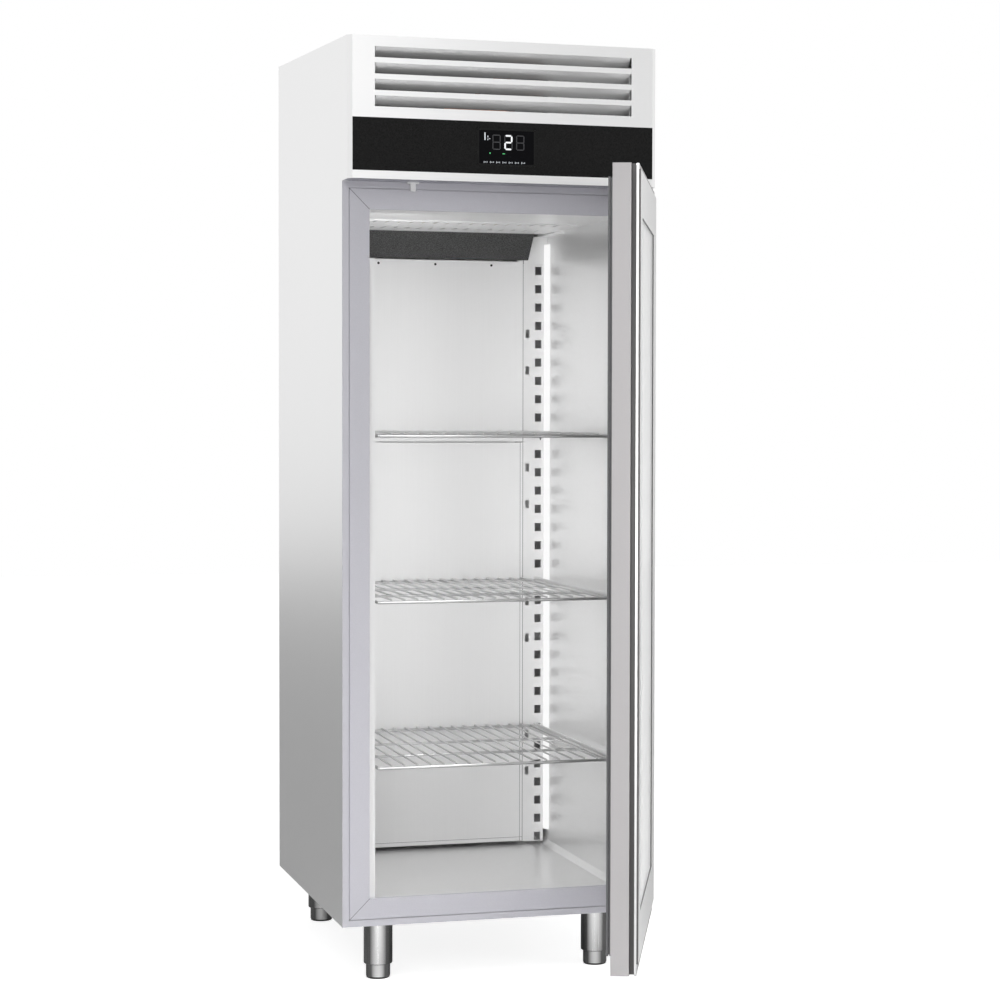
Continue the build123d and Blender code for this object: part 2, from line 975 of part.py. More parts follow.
def foot():
    """Adjustable foot, a plain round barrel."""
    with BuildPart() as pad:
        disc(Plane.XY, 0, 0, foot_r, foot_h)
    return pad.part


def legs_and_feet():
    sleeve = leg()
    pad = foot()
    places = {
        "front_left": (-leg_x, leg_rows[0]),
        "front_right": (leg_x, leg_rows[0]),
        "rear_left": (-leg_x, leg_rows[1]),
        "rear_right": (leg_x, leg_rows[1]),
    }
    spots = [Location((x, y, 0)) for x, y in places.values()]
    save(Compound(children=[spot * sleeve for spot in spots]), "legs")
    for name, spot in zip(places, spots):
        save(spot * pad, "foot_" + name)


# Cooling system

def evaporator_case():
    """Insulated hood over the openings of the deck."""
    inner_x = case_x - case_t
    with BuildPart() as case:
        slab(level(deck_z), (-case_x, case_x), (case_y0, case_y1), case_z - deck_z)
        chamfer(case.edges().filter_by(Axis.Z), case_t / 3)
        room = (case_y0 + case_t, case_y1 - case_t)
        slab(level(deck_z), (-inner_x, inner_x), room, case_z - case_t - deck_z, Mode.SUBTRACT)
    return case.part


def finned_block(u, y, v, thick):
    """Heat exchanger core: a block with a row of fins standing out of both faces."""
    pitch = (u[1] - u[0] - 2 * fin_edge) / coil_fins
    with BuildPart() as core:
        slab(front_plane(y + thick), u, v, thick)
        for k in range(coil_fins):
            x = u[0] + fin_edge + pitch * k
            gap = (x, x + pitch * 0.6)
            for face in (y + fin_h, y + thick):
                slab(front_plane(face), gap, inside(v, fin_h), fin_h, Mode.SUBTRACT)
    return core.part


def evaporator_coil():
    inner_x = case_x - case_t
    v = (deck_z + coil_lift, case_z - case_t - coil_drop)
    return finned_block((-inner_x, inner_x), case_y0 + case_t + coil_gap, v, coil_t)


def condenser_coil():
    return finned_block(cond_x, cond_y, (deck_z + sheet, case_z), cond_t)


def fan_frame(u, v, x, z, y):
    """Panel with the fan ring, and the strap behind it that holds the motor and shaft."""
    strap = (x - fan_r - strap_gap, x + fan_r + strap_gap)
    y0 = y + fan_panel_t
    y1 = y + fan_d
    with BuildPart() as frame:
        slab(front_plane(y0), u, v, fan_panel_t)
        disc(front_plane(y0), x, z, fan_r, fan_panel_t, Mode.SUBTRACT)
        profile = [(strap[0], y0), (strap[0], y1), (strap[1], y1), (strap[1], y0)]
        bent(level(z - strap_w / 2), profile, strap_t, strap_w)
        w = motor_w / 2
        slab(front_plane(y1 - strap_t), (x - w, x + w), (z - w, z + w), motor_l)
        disc(front_plane(y1 - strap_t - motor_l), x, z, shaft_r, shaft_l)
    return frame.part


def fan_rotor(x, z, y):
    """Faceted hub with a blind bore for the motor shaft, and pitched blades round it."""
    hub_y = y + fan_d - strap_t - motor_l - hub_gap
    with BuildPart() as rotor:
        rod(front_plane(hub_y), x, z, hub_r, hub_sides, hub_l)
        for k in range(blade_n):
            a = radians(360 / blade_n * k)
            pitch = radians(blade_pitch)
            normal = (-sin(a) * sin(pitch), -cos(pitch), cos(a) * sin(pitch))
            blade = Plane(origin=(x, hub_y - hub_l / 2, z), x_dir=(cos(a), 0, sin(a)), z_dir=normal)
            root = hub_r - 6
            tip = fan_tip_r
            outline = [(root, -15), (tip - 14, -27), (tip - 2, -12), (tip - 7, 20), (root, 15)]
            prism(blade.offset(-fan_blade_t / 2), outline, fan_blade_t)
        bore_l = shaft_l - hub_gap + bore_end
        disc(front_plane(hub_y), x, z, shaft_r + shaft_fit, bore_l, Mode.SUBTRACT)
    return rotor.part


def compressor():
    """Faceted shell on a foot plate, with its terminal box."""
    y = front_y + comp_y
    w = comp_r + comp_foot
    d = comp_r - comp_foot / 2
    side = box_w / 2
    with BuildPart() as shell:
        rod(level(deck_z + comp_plate), comp_x, y, comp_r, comp_sides, comp_h)
        rims = shell.edges().filter_by(Axis.Z, reverse=True)
        chamfer(rims, comp_cone)
        slab(level(deck_z), (comp_x - w, comp_x + w), (y - d, y + d), comp_plate)
        u = (comp_x, comp_x + comp_r + box_out)
        slab(level(deck_z + box_h), u, (y - side, y + side), box_h)
    return shell.part


def pipe(points, r=pipe_r):
    """Six-sided tube along a path with rounded bends."""
    with BuildPart() as tube:
        with BuildLine() as path:
            if len(points) > 2:
                FilletPolyline(*points, radius=bend_r)
            else:
                Line(*points)
        start = path.line @ 0
        with BuildSketch(Plane(origin=start, z_dir=path.line % 0)):
            RegularPolygon(r, 6)
        sweep()
    return tube.part


def refrigerant_pipes():
    """Copper lines between compressor, condenser and evaporator, with the filter drier."""
    y0 = front_y + comp_y
    mid = cond_y + cond_t / 2
    top = deck_z + hot_lift
    high = deck_z + liquid_lift
    low = deck_z + suction_lift
    x1 = cond_x[0] - hot_gap
    x2 = cond_x[0] - liquid_gap
    suction = pipe([(comp_x, y0 + comp_r, low), (comp_x, case_y0, low)])
    hot = pipe([(comp_x + comp_r, y0, top), (x1, y0, top), (x1, mid, top), (cond_x[0], mid, top)])
    liquid = pipe([(cond_x[0], mid, high), (x2, mid, high), (x2, case_y0, high)])
    with BuildPart() as drier:
        rod(front_plane(case_y0 - drier_l), x2, high, drier_r, drier_sides, drier_l)
        chamfer(drier.edges().filter_by(Axis.Y, reverse=True), drier_cone)
    joined = liquid + drier.part
    return Compound(children=[suction, hot] + joined.solids())


def controller_box():
    y = head_y - display_proud + display_d + controller_d
    u = (display_x - controller_w / 2, display_x + controller_w / 2)
    v = (display_z - controller_h / 2, display_z + controller_h / 2)
    with BuildPart() as box:
        slab(front_plane(y), u, v, controller_d)
        for k in range(vent_n):
            z = display_z + 14 * (k - 2)
            slab(front_plane(y), inside(u, bezel * 5), (z, z + bezel), strap_t, Mode.SUBTRACT)
    return box.part


def cable_gland():
    """Strain relief with a six-sided nut in the rear of the head."""
    with BuildPart() as gland:
        hexagon(front_plane(back_y + gland_nut_l), gland_x, gland_z, cord_r + gland_nut, gland_nut_l)
        with BuildSketch(front_plane(back_y)) as area:
            with Locations((gland_x, gland_z)):
                RegularPolygon(cord_r + gland_wall, gland_sides)
        extrude(area.sketch, amount=gland_l)
        length = gland_nut_l + gland_l
        disc(front_plane(back_y + gland_nut_l), gland_x, gland_z, cord_r, length, Mode.SUBTRACT)
    return gland.part


# Door: local x runs from the pivot to the free edge, local y outwards, z up

door_plane = Plane(
    origin=(pivot_x, pivot_y, 0),
    x_dir=(-cos(turn), -sin(turn), 0),
    z_dir=(0, 0, 1),
)
t_in = -door_t / 2
t_out = door_t / 2
t_body = t_out - face_t
pane_out = t_out - pane_sunk
pane_mid = pane_out - pane_t
pane_in = pane_mid - pane_space
pane_back = pane_in - pane_t
free_d = door_len
hinge_d = -pivot_in
win_d = (hinge_d + hinge_stile_w, free_d - stile_w)
win_z = (door_z0 + rail_bottom_h, door_z1 - rail_top_h)


def door_level(z):
    return door_plane.offset(z)


def door_front(t):
    """Sketch plane parallel to the door, x along the door and y up, facing outwards."""
    return Plane(
        origin=door_plane.from_local_coords((0, t, 0)),
        x_dir=door_plane.x_dir,
        z_dir=-door_plane.y_dir,
    )


def door_across(d):
    """Sketch plane across the door: x outwards and y up, facing the free edge."""
    return Plane(
        origin=door_plane.from_local_coords((d, 0, 0)),
        x_dir=door_plane.y_dir,
        z_dir=door_plane.x_dir,
    )


def in_front(t, u, v, amount, mode=Mode.ADD):
    """Slab between two limits along the door and in height, from depth t inwards."""
    plane = door_front(t)
    flip = 1 if plane.y_dir.Z > 0 else -1
    slab(plane, u, sorted((flip * v[0], flip * v[1])), amount, mode)


def door_stile_handle():
    """Free stile with the finger recess, the glass rebate and rounded outer corners."""
    pocket = free_d - recess_d - strip_t
    lip_in = t_body - lip_t
    with BuildPart() as stile:
        outline = [
            (win_d[1], t_in),
            (free_d, t_in),
            (free_d, lip_in - recess_w),
            (pocket, lip_in - recess_w),
            (pocket, t_body),
            (win_d[1] + pane_grip, t_body),
            (win_d[1] + pane_grip, pane_back),
            (win_d[1], pane_back),
        ]
        prism(door_level(door_z0), outline, door_z1 - door_z0)
    return stile.part


def door_handle_strip():
    """Bright grip profile in the recess of the free stile, with rounded ends."""
    pocket = free_d - recess_d - strip_t
    lip_in = t_body - lip_t
    with BuildPart() as strip:
        outline = [
            (pocket, lip_in - recess_w),
            (pocket + strip_t, lip_in - recess_w),
            (pocket + strip_t, lip_in),
            (free_d, lip_in),
            (free_d, t_body),
            (pocket, t_body),
        ]
        prism(door_level(door_z0), outline, door_z1 - door_z0)
        free = strip.edges().filter_by(Axis.Z, reverse=True)
        ends = [e for e in free if abs(door_plane.to_local_coords(e.center()).X - free_d) < 0.1]
        fillet(ends, lip_r)
    return strip.part


def door_stile_hinge():
    with BuildPart() as stile:
        outline = [
            (hinge_d, t_in),
            (win_d[0], t_in),
            (win_d[0], pane_back),
            (win_d[0] - pane_grip, pane_back),
            (win_d[0] - pane_grip, t_body),
            (hinge_d, t_body),
        ]
        prism(door_level(door_z0), outline, door_z1 - door_z0)
        seat_l = pin_l + pin_end
        for z in (door_z0, door_z1 - seat_l):
            disc(door_level(z), 0, 0, pin_r + bush_fit + bush_t, seat_l, Mode.SUBTRACT)
    return stile.part


def door_bushes():
    with BuildPart() as bushes:
        for z in (door_z0, door_z1 - pin_l - pin_end):
            disc(door_level(z), 0, 0, pin_r + bush_fit + bush_t, pin_l + pin_end)
            disc(door_level(z), 0, 0, pin_r + bush_fit, pin_l + pin_end, Mode.SUBTRACT)
    return bushes.part


def door_rail(z0, z1, inner, outward):
    """Top or bottom rail between the stiles, rebated for the glass on its inner edge."""
    rebate_z = inner + outward * pane_grip
    outer = z1 if outward > 0 else z0
    with BuildPart() as rail:
        outline = [
            (t_in, outer),
            (t_in, inner),
            (pane_back, inner),
            (pane_back, rebate_z),
            (t_body, rebate_z),
            (t_body, outer),
        ]
        prism(door_across(win_d[0]), outline, win_d[1] - win_d[0])
    return rail.part


def door_face_frame():
    """Stamped outer frame round the glass, set in from the top and bottom of the door."""
    z = (door_z0 + face_bottom_inset, door_z1 - face_top_inset)
    with BuildPart() as frame:
        in_front(t_out, (hinge_d, free_d), z, face_t)
        in_front(t_out, win_d, win_z, face_t, Mode.SUBTRACT)
        grow_d = (win_d[0] - pane_grip, win_d[1] + pane_grip)
        grow_z = (win_z[0] - pane_grip, win_z[1] + pane_grip)
        in_front(pane_out, grow_d, grow_z, pane_out - t_body, Mode.SUBTRACT)
    return frame.part


def pane(t0):
    grow = pane_fit - pane_grip
    with BuildPart() as glass:
        in_front(t0 + pane_t, inside(win_d, grow), inside(win_z, grow), pane_t)
    return glass.part


def glass_spacer():
    """Edge spacer bar between the two panes."""
    grow = 2 * pane_fit - pane_grip
    inner = grow + spacer_w
    with BuildPart() as spacer:
        in_front(pane_mid, inside(win_d, grow), inside(win_z, grow), pane_space)
        hole_d = inside(win_d, inner)
        hole_v = inside(win_z, inner)
        in_front(pane_mid, hole_d, hole_v, pane_space, Mode.SUBTRACT)
    return spacer.part


def door_gasket():
    """Magnetic seal all round the inner face, with a bellows groove on both flanks."""
    thick = door_stand - gasket_gap
    d = (hinge_d + gasket_side, free_d - gasket_side)
    z = (door_z0 + gasket_bottom, door_z1 - gasket_top)
    groove = gasket_groove_band(d, z)
    with BuildPart() as gasket:
        in_front(t_in, d, z, thick)
        in_front(t_in, inside(d, gasket_w), inside(z, gasket_w), thick, Mode.SUBTRACT)
        add(groove, mode=Mode.SUBTRACT)
    return gasket.part


def gasket_groove_band(d, z):
    t = t_in - gasket_groove
    with BuildPart() as band:
        in_front(t, d, z, gasket_groove_h)
        inner_d = inside(d, gasket_groove)
        inner_z = inside(z, gasket_groove)
        in_front(t, inner_d, inner_z, gasket_groove_h, Mode.SUBTRACT)
    return band.part


def door():
    save(door_stile_handle(), "door_stile_handle")
    save(door_stile_hinge(), "door_stile_hinge")
    save(door_handle_strip(), "door_handle_strip")
    save(door_bushes(), "door_bushes")
    save(door_rail(win_z[1], door_z1, win_z[1], 1), "door_rail_top")
    save(door_rail(door_z0, win_z[0], win_z[0], -1), "door_rail_bottom")
    save(door_face_frame(), "door_face_frame")
    save(pane(pane_mid), "glass_outer")
    save(pane(pane_back), "glass_inner")
    save(glass_spacer(), "glass_spacer")
    save(door_gasket(), "door_gasket")


def cabinet():
    save_mirrored(side_panel(), "side_panel_left", "side_panel_right")
    save(back_panel(), "back_panel")
    save(base_panel(), "base_panel")
    save(machine_deck(), "machine_deck")
    save(top_cover(), "top_cover")
    save(rear_grille(), "rear_grille")
    save(insulation(), "insulation")
    save(inner_liner(), "inner_liner")
    frame_strips()
    save(header_fascia(), "header_fascia")
    save(louvre_blades(), "louvre_blades")
    save(control_band(), "control_band")
    save(display_module(), "display_module")
    save(display_glass(), "display_glass")
    save(door_sensor(), "door_sensor")
    save(hinge_upper(), "hinge_upper")
    save(hinge_lower(), "hinge_lower")


def interior():
    save(pair(rack_upright_rear()), "rack_uprights_rear")
    save(pair(rack_upright_front()), "rack_uprights_front")
    shelf_runners()
    for name, index in zip(("top", "middle", "bottom"), shelf_holes):
        save(shelf(shelf_plane_z(index)), "shelf_" + name)
    save(duct_panel(duct_z0, duct_seam - seam_gap), "duct_panel_lower")
    save(duct_panel(duct_seam + seam_gap, duct_z1), "duct_panel_upper")
    save(duct_screws(), "duct_screws")
    save(ceiling_grille(), "ceiling_grille")
    save(fan_cover_plate(), "fan_cover_plate")
    save(pair(led_strip()), "led_strips")


def cooling():
    save(evaporator_case(), "evaporator_case")
    save(evaporator_coil(), "evaporator_coil")
    save(condenser_coil(), "condenser_coil")
    inner_x = case_x - case_t
    evap_u = (-inner_x, inner_x)
    evap_v = (deck_z, case_z - case_t)
    save(fan_frame(evap_u, evap_v, 0, evap_fan_z, evap_fan_y), "evaporator_fan_frame")
    save(fan_rotor(0, evap_fan_z, evap_fan_y), "evaporator_fan_rotor")
    y = cond_y + cond_t
    cond_mid = (cond_x[0] + cond_x[1]) / 2
    cond_v = (deck_z + sheet, case_z)
    save(fan_frame(cond_x, cond_v, cond_mid, cond_fan_z, y), "condenser_fan_frame")
    save(fan_rotor(cond_mid, cond_fan_z, y), "condenser_fan_rotor")
    save(compressor(), "compressor")
    save(refrigerant_pipes(), "refrigerant_pipes")
    save(controller_box(), "controller_box")
    save(cable_gland(), "cable_gland")


cabinet()
interior()
legs_and_feet()
cooling()
door()
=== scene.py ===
import math

import bpy
from mathutils import Matrix, Vector


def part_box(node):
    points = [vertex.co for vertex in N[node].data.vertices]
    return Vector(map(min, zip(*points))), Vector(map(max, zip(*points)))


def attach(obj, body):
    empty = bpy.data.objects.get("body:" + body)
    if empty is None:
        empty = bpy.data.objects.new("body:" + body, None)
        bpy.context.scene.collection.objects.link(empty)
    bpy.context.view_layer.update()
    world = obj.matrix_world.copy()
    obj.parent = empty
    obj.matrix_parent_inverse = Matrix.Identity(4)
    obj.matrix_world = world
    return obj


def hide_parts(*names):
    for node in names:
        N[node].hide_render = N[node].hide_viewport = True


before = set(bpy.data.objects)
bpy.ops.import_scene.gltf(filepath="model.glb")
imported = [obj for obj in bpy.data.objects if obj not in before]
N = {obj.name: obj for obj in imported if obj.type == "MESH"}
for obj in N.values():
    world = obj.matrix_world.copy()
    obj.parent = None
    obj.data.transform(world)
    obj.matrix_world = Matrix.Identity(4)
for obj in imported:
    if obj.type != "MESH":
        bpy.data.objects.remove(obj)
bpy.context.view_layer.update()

# Shared places and directions: metres in the row frame, the cabinet's front looks towards -Y.
X, Y, Z = (1, 0, 0), (0, 1, 0), (0, 0, 1)
LEFT = -0.340                               # left side of the cabinet
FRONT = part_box("frame_strip_left")[0].y     # front of the frame strips
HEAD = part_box("header_fascia")[0].y         # front of the fascia
HEAD_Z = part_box("frame_strip_top")[1].z     # top of the frame strips, where the head begins

# The door stands open at rest: ALONG runs from hinge to free edge, OUT towards its outer face.
TURN = math.radians(69.4)
ALONG = Vector((-math.cos(TURN), -math.sin(TURN), 0))
OUT = Vector((math.sin(TURN), -math.cos(TURN), 0))


def reach(node, direction):
    """Lowest and highest distance of a node's points along a direction."""
    values = [Vector(v.co).dot(direction) for v in N[node].data.vertices]
    return min(values), max(values)


LIP_THICK = 0.0045                                  # outer lip of the grip strip
PANE_LAP = 0.010                                    # edge of the pane behind the face frame
FREE = reach("door_handle_strip", ALONG)[1]         # free edge of the door
SHOULDER, FACE = reach("door_handle_strip", OUT)    # inner side of the recess, face of the lip
LIP = FACE - LIP_THICK                              # outer side of the recess
PANE = reach("glass_outer", ALONG)


# ---------------------------------------------------------------- shader nodes

WHITE = (1.0, 1.0, 1.0, 1.0)
NOISE_RANGE = (0.3, 0.7)                            # where most values of a noise texture lie
# The next range is for painted shade on what is seen at a grazing angle.
RIM_SHADE_RANGE = (0.01, 0.19)                            # facing values over which a rim darkens
BUMP_DEPTH = 0.0005
MIX_FACTOR, MIX_A, MIX_B, MIX_RESULT = 0, 6, 7, 2   # sockets of a Mix node that mixes colours


def feed(tree, socket, value):
    """Link an output to an input socket, or set the socket to a plain value."""
    if isinstance(value, bpy.types.NodeSocket):
        tree.links.new(value, socket)
    else:
        socket.default_value = value


def add_node(tree, kind, inputs=None, **settings):
    """A new shader node; its inputs are fed with outputs of other nodes or with values."""
    node = tree.nodes.new("ShaderNode" + kind)
    for key, value in settings.items():
        setattr(node, key, value)
    for key, value in (inputs or {}).items():
        feed(tree, node.inputs[key], value)
    return node


def calculate(tree, operation, a, b=0.0):
    return add_node(tree, "Math", {0: a, 1: b}, operation=operation).outputs[0]


def map_range(tree, value, to, source=(0.0, 1.0), **settings):
    """Value carried over from a source range to another one."""
    inputs = {"Value": value, "From Min": source[0], "From Max": source[1],
              "To Min": to[0], "To Max": to[1]}
    return add_node(tree, "MapRange", inputs, **settings).outputs["Result"]


def mix_colour(tree, factor, a, b, blend="MIX"):
    inputs = {MIX_FACTOR: factor, MIX_A: a, MIX_B: b}
    mix = add_node(tree, "Mix", inputs, data_type="RGBA", blend_type=blend)
    return mix.outputs[MIX_RESULT]


def mix_shader(tree, factor, a, b):
    return add_node(tree, "MixShader", {0: factor, 1: a, 2: b}).outputs[0]


def facing(tree):
    """0 where the surface faces the eye, rising to 1 at a grazing angle."""
    return add_node(tree, "LayerWeight", {"Blend": 0.5}).outputs["Facing"]


class Mat:
    """A Principled material with procedural variation in colour, roughness and bump."""

    def __init__(self, name, colour, rough, metallic=0.0):
        self.material = bpy.data.materials.new(name)
        self.material.use_nodes = True
        self.tree = self.material.node_tree
        self.shader = self.tree.nodes["Principled BSDF"]
        self.colour, self.rough, self.metallic = (*colour, 1.0), rough, metallic
        self.set("Base Color", self.colour)
        self.set("Roughness", rough)
        self.set("Metallic", metallic)
        self.coord = add_node(self.tree, "TexCoord").outputs["Object"]

    def set(self, name, value):
        """A value or another node's output for one of the shader's inputs."""
        feed(self.tree, self.shader.inputs[name], value)

    def base(self):
        """What feeds the base colour so far."""
        return self.shader.inputs["Base Color"].links[0].from_socket

    def noise(self, scale, stretch=(1, 1, 1), detail=2.0):
        """Noise over object coordinates, stretched along the axes."""
        place = add_node(self.tree, "Mapping", {"Vector": self.coord, "Scale": stretch})
        inputs = {"Vector": place.outputs["Vector"], "Scale": scale, "Detail": detail}
        return add_node(self.tree, "TexNoise", inputs).outputs["Fac"]

    def vary(self, fac, low, high):
        """The noise carried over to the range from low to high."""
        return map_range(self.tree, fac, (low, high), NOISE_RANGE)

    def vary_colour(self, fac, low, high):
        """Base colour multiplied by a noise between low and high."""
        grey = self.vary(fac, low, high)
        self.set("Base Color", mix_colour(self.tree, 1.0, self.colour, grey, "MULTIPLY"))

    def vary_rough(self, fac, amount):
        """Roughness that differs by up to an amount either way."""
        self.set("Roughness", self.vary(fac, self.rough - amount, self.rough + amount))

    def second_colour(self, mask, colour, metallic=None):
        """Another colour where the mask is 1, and another metallic value if it is given.

        The metallic value of a later part takes the place of an earlier part's."""
        self.set("Base Color", mix_colour(self.tree, mask, self.base(), (*colour, 1.0)))
        if metallic is not None:
            self.set("Metallic", map_range(self.tree, mask, (self.metallic, metallic)))

    def painted_rim_shade(self, low):
        """Painted shade: base colour that falls, to the share low, on what is seen at a grazing
        angle, standing in for dark reflections.
        """
        grey = map_range(self.tree, facing(self.tree), (1.0, low), RIM_SHADE_RANGE)
        self.set("Base Color", mix_colour(self.tree, 1.0, self.base(), grey, "MULTIPLY"))

    def bump(self, fac, strength):
        inputs = {"Height": fac, "Strength": strength, "Distance": BUMP_DEPTH}
        self.set("Normal", add_node(self.tree, "Bump", inputs).outputs["Normal"])

    # Masks are 1 on a part of the surface and 0 elsewhere. Places are in the row frame at rest.

    def along(self, direction, origin=(0.0, 0.0, 0.0)):
        """Distance of the point from an origin, measured along a direction."""
        shift = add_node(self.tree, "VectorMath", {0: self.coord, 1: origin}, operation="SUBTRACT")
        inputs = {0: shift.outputs["Vector"], 1: direction}
        return add_node(self.tree, "VectorMath", inputs, operation="DOT_PRODUCT").outputs["Value"]

    def math(self, operation, a, b=0.0):
        return calculate(self.tree, operation, a, b)

    def below(self, value, limit):
        return self.math("LESS_THAN", value, limit)

    def above(self, value, limit):
        return self.math("GREATER_THAN", value, limit)

    def both(self, a, b):
        return self.math("MULTIPLY", a, b)

    def either(self, a, b):
        return self.math("MAXIMUM", a, b)

    def within(self, value, low, high):
        return self.both(self.above(value, low), self.below(value, high))


# ---------------------------------------------------------------- masks

def front_flange(m):
    """Front flange of the side skin, below the head."""
    flange = 0.0011
    return m.both(m.below(m.along(Y), FRONT + flange), m.below(m.along(Z), HEAD_Z))


def head_underside(m):
    """Lower face of the return along the bottom of the fascia."""
    margin = 0.0004
    return m.below(m.along(Z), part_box("header_fascia")[0].z + margin)


def painted_shade_head_gap(m):
    """Painted shade: a dark line on the fascia's return, just behind its front edge, where the gap
    is in shade.
    """
    start, end = 0.0015, 0.010
    return m.both(head_underside(m), m.within(m.along(Y), HEAD + start, HEAD + end))


def mitres(m):
    """Joints of the frame strips, from each outer corner to the inner corner."""
    half_width = 0.0011
    low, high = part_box("frame_strip_left")
    side = m.math("ADD", m.math("ABSOLUTE", m.along(X)), low.x)
    lines = []
    for strip, corner, sign in (("frame_strip_top", 1, 1), ("frame_strip_bottom", 0, -1)):
        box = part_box(strip)
        slope = (box[1].z - box[0].z) / (high.x - low.x)
        height = m.math("MULTIPLY", m.math("SUBTRACT", m.along(Z), box[corner].z), sign / slope)
        distance = m.math("ABSOLUTE", m.math("SUBTRACT", side, height))
        lines.append(m.below(distance, half_width))
    return m.either(*lines)


def strip_front(m):
    """Front edge in line with the frame strips."""
    margin = 0.0003
    return m.below(m.along(Y), FRONT + margin)


def duct_fold_shade(m):
    """Painted shade: dark lines along the folds at the right and the lower edge of the duct
    panels.
    """
    outer, inner, lower = (-0.0016, 0.001), (-0.0081, -0.0069), (0.0088, 0.0098)
    low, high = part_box("duct_panel_lower")
    x = m.along(X, (high.x, 0, 0))
    z = m.along(Z, (0, 0, low.z))
    second = m.both(m.within(x, *inner), m.below(z, high.z - low.z))
    return m.either(m.either(m.within(x, *outer), second), m.within(z, *lower))


def pane_edge(m):
    """Sides of the opening in the door's face, and a thin seal above and below the pane."""
    margin, seal_below, seal_above = 0.0003, 0.0007, 0.0013
    low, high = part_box("glass_outer")
    across = m.within(m.along(ALONG), PANE[0] + PANE_LAP - margin, PANE[1] - PANE_LAP + margin)
    upright = m.within(m.along(Z), low.z + PANE_LAP - seal_below, high.z - PANE_LAP + seal_above)
    return m.both(across, upright)


def plate_edge_highlight(m):
    """Painted highlight: a lighter band along the folded upper edge of the cover plate."""
    fold = 0.004
    return m.above(m.along(Z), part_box("fan_cover_plate")[1].z - fold)


def finger_recess_shade(m):
    """Painted shade inside the recess along the free edge of the door."""
    margin = 0.0002
    depth = m.below(m.along(ALONG), FREE - margin)
    return m.both(depth, m.within(m.along(OUT), SHOULDER - margin, LIP + margin))


def face_edge_shade(m):
    """Painted shade on the edge of the stamped frame along the free side, where the gap to the lip
    is shaded.
    """
    margin = 0.0001
    return m.above(m.along(ALONG), FREE - margin)


# ---------------------------------------------------------------- materials

LILAC = (0.56, 0.555, 0.60)
# The next colour is painted shade, in the door's finger recess and along the free edge of its
# face.
SHADE_DARK = (0.085, 0.08, 0.08)
BLACK = (0.02, 0.02, 0.02)
SEAM = (0.22, 0.22, 0.24)

# Grain of brushed sheet, by the axes that it runs along, and of sheet without a direction
GRAIN_X, GRAIN_YZ, GRAIN_Z = (3, 900, 900), (900, 3, 3), (900, 900, 3)
GRAIN_LEG, GRAIN_FINS = (400, 400, 3), (400, 3, 3)
MATT, SPANGLE, WIRE, COARSE = (260, 260, 260), (60, 60, 60), (40, 40, 40), (30, 30, 30)


def steel(name, grey, rough, grain, metallic=1.0, amount=0.03, uneven=0.03, parts=(), rim_shade=None):
    """Sheet metal with a fine grain, long in the axes where grain is small.

    The colour varies by amount, half as much towards the light, and the roughness by uneven.
    Parts are (mask, colour, metallic)."""
    m = Mat(name, (grey, grey, grey), rough, metallic)
    fac = m.noise(1.0, grain, 3)
    m.vary_colour(fac, 1 - amount, 1 + amount / 2)
    m.vary_rough(fac, uneven)
    for mask, colour, other in parts:
        m.second_colour(mask(m), colour, other)
    # Painted shade on what is seen at a grazing angle, standing in for dark reflections.
    if rim_shade is not None:
        m.painted_rim_shade(rim_shade)
    return m.material


def plain(name, colour, rough, metallic=0.0, scale=900.0, amount=0.04, uneven=0.04, bump=0.02,
          specular=0.5, parts=()):
    """Paint, plastic or rubber with an even fine texture. Parts are (mask, colour, metallic)."""
    m = Mat(name, colour, rough, metallic)
    m.set("Specular IOR Level", specular)
    fac = m.noise(scale)
    m.vary_colour(fac, 1 - amount, 1 + amount)
    m.vary_rough(fac, uneven)
    for mask, colour_there, other in parts:
        m.second_colour(mask(m), colour_there, other)
    if bump:
        m.bump(fac, bump)
    return m.material


def glow(name, colour, strength, amount=0.04):
    """A lamp or a lit sign. Its strength varies by amount."""
    m = Mat(name, BLACK, 0.4)
    fac = m.noise(300, detail=1)
    m.set("Emission Color", (*colour, 1.0))
    m.set("Emission Strength", m.vary(fac, strength * (1 - amount), strength * (1 + amount)))
    return m.material


def glass():
    """Thin clear pane with a soft sheen that grows at a grazing angle."""
    tint, sheen_range, steepness, haze_share = (0.97, 0.99), (0.035, 0.95), 5.0, 0.9
    m = bpy.data.materials.new("door_glass")
    m.use_nodes = True
    t = m.node_tree
    t.nodes.remove(t.nodes["Principled BSDF"])
    coord = add_node(t, "TexCoord").outputs["Object"]
    noise = add_node(t, "TexNoise", {"Vector": coord, "Scale": 3.0}).outputs["Fac"]
    clear = add_node(t, "BsdfTransparent", {"Color": map_range(t, noise, tint)})
    gloss = add_node(t, "BsdfGlossy", {"Color": WHITE, "Roughness": 0.03})
    haze = add_node(t, "BsdfDiffuse", {"Color": (0.98, 0.98, 0.98, 1.0)})
    sheen = mix_shader(t, haze_share, gloss.outputs[0], haze.outputs[0])
    share = map_range(t, calculate(t, "POWER", facing(t), steepness), sheen_range)
    surface = mix_shader(t, share, clear.outputs[0], sheen)
    t.links.new(surface, t.nodes["Material Output"].inputs["Surface"])
    return m


